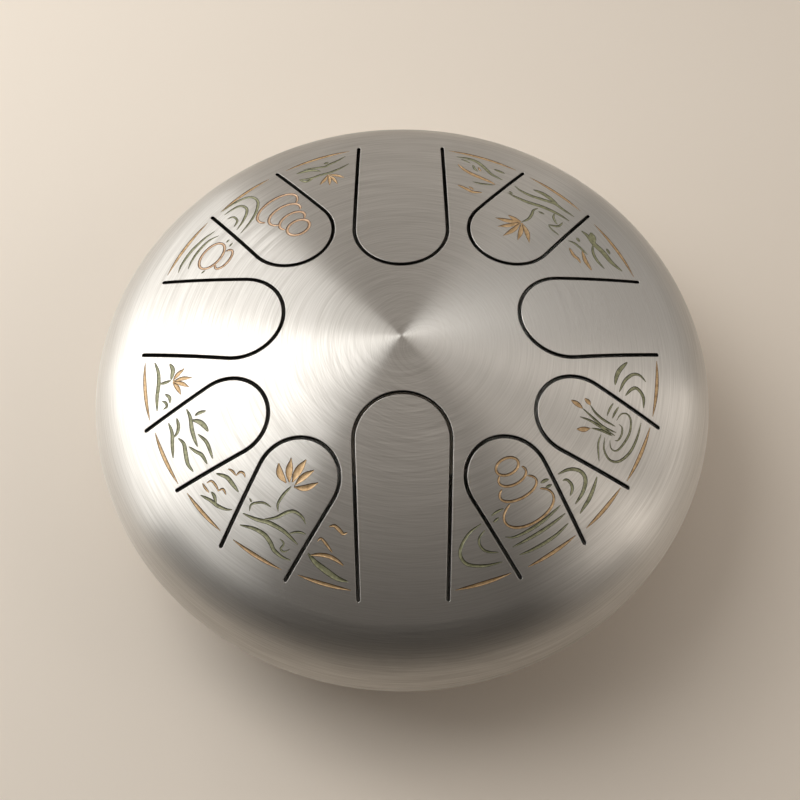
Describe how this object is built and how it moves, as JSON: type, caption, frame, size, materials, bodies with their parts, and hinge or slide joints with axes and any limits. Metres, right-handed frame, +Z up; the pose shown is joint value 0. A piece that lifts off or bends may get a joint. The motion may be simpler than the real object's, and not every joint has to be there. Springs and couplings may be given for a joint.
{
  "type": "steel tongue drum",
  "caption": "Lens-shaped steel tongue drum: two pressed steel bowls welded at the rim, sprung tongues cut in the top, a lipped sound hole below and rubber feet.",
  "frame": {"origin": "on the drum's axis, on the surface its feet stand on", "axes": "+Z up along the drum's axis; -Y towards the player and the longest tongue; +X to the player's right"},
  "size_m": [0.305, 0.305, 0.1149],
  "materials": {
    "brushed_steel": "concentrically brushed stainless steel with engraved, gold and green paint-filled lines",
    "weld_steel": "ground weld, brushed round the rim",
    "magnet_nickel": "nickel plated",
    "foot_rubber": "matt moulded rubber",
    "fastener_zinc": "bright zinc plated"
  },
  "bodies": {
    "drum": {"top_shell": "brushed_steel", "bottom_shell": "brushed_steel", "equator_weld": "weld_steel", "rubber_foot_front": "foot_rubber", "rubber_foot_back_right": "foot_rubber", "rubber_foot_back_left": "foot_rubber", "foot_screws": "fastener_zinc", "foot_screw_washers": "fastener_zinc", "foot_nut_washers": "fastener_zinc", "foot_nuts": "fastener_zinc"},
    "tongue_front": {"tongue_front": "brushed_steel", "magnet_front": "magnet_nickel"},
    "tongue_front_left": {"tongue_front_left": "brushed_steel", "magnet_front_left": "magnet_nickel"},
    "tongue_mid_left": {"tongue_mid_left": "brushed_steel", "magnet_mid_left": "magnet_nickel"},
    "tongue_left": {"tongue_left": "brushed_steel", "magnet_left": "magnet_nickel"},
    "tongue_back_left": {"tongue_back_left": "brushed_steel", "magnet_back_left": "magnet_nickel"},
    "tongue_back": {"tongue_back": "brushed_steel", "magnet_back": "magnet_nickel"},
    "tongue_back_right": {"tongue_back_right": "brushed_steel", "magnet_back_right": "magnet_nickel"},
    "tongue_right": {"tongue_right": "brushed_steel", "magnet_right": "magnet_nickel"},
    "tongue_mid_right": {"tongue_mid_right": "brushed_steel", "magnet_mid_right": "magnet_nickel"},
    "tongue_front_right": {"tongue_front_right": "brushed_steel", "magnet_front_right": "magnet_nickel"}
  },
  "joints": [
    {"name": "tongue_front_flex", "type": "hinge", "parent": "drum", "child": "tongue_front", "pos_m": [0, -0.12134, 0.09338], "axis": [1, 0, 0], "range_deg": [-0.6, 0.6], "stiffness_Nm_per_rad": 180},
    {"name": "tongue_front_left_flex", "type": "hinge", "parent": "drum", "child": "tongue_front_left", "pos_m": [-0.06698, -0.10362, 0.09266], "axis": [0.8738, -0.4863, 0], "range_deg": [-0.6, 0.6], "stiffness_Nm_per_rad": 230},
    {"name": "tongue_mid_left_flex", "type": "hinge", "parent": "drum", "child": "tongue_mid_left", "pos_m": [-0.11139, -0.05322, 0.09263], "axis": [0.4772, -0.8788, 0], "range_deg": [-0.6, 0.6], "stiffness_Nm_per_rad": 260},
    {"name": "tongue_left_flex", "type": "hinge", "parent": "drum", "child": "tongue_left", "pos_m": [-0.12056, 0.02231, 0.09293], "axis": [-0.1659, -0.9861, 0], "range_deg": [-0.6, 0.6], "stiffness_Nm_per_rad": 250},
    {"name": "tongue_back_left_flex", "type": "hinge", "parent": "drum", "child": "tongue_back_left", "pos_m": [-0.07958, 0.09436, 0.09264], "axis": [-0.7711, -0.6368, 0], "range_deg": [-0.6, 0.6], "stiffness_Nm_per_rad": 270},
    {"name": "tongue_back_flex", "type": "hinge", "parent": "drum", "child": "tongue_back", "pos_m": [0, 0.12326, 0.0927], "axis": [-1, 0, 0], "range_deg": [-0.6, 0.6], "stiffness_Nm_per_rad": 210},
    {"name": "tongue_back_right_flex", "type": "hinge", "parent": "drum", "child": "tongue_back_right", "pos_m": [0.07881, 0.09343, 0.09307], "axis": [-0.7711, 0.6368, 0], "range_deg": [-0.6, 0.6], "stiffness_Nm_per_rad": 270},
    {"name": "tongue_right_flex", "type": "hinge", "parent": "drum", "child": "tongue_right", "pos_m": [0.11942, 0.02054, 0.09344], "axis": [-0.1409, 0.99, 0], "range_deg": [-0.6, 0.6], "stiffness_Nm_per_rad": 260},
    {"name": "tongue_mid_right_flex", "type": "hinge", "parent": "drum", "child": "tongue_mid_right", "pos_m": [0.11139, -0.05322, 0.09263], "axis": [0.4772, 0.8788, 0], "range_deg": [-0.6, 0.6], "stiffness_Nm_per_rad": 260},
    {"name": "tongue_front_right_flex", "type": "hinge", "parent": "drum", "child": "tongue_front_right", "pos_m": [0.06674, -0.10318, 0.09284], "axis": [0.8738, 0.4863, 0], "range_deg": [-0.6, 0.6], "stiffness_Nm_per_rad": 240}
  ]
}
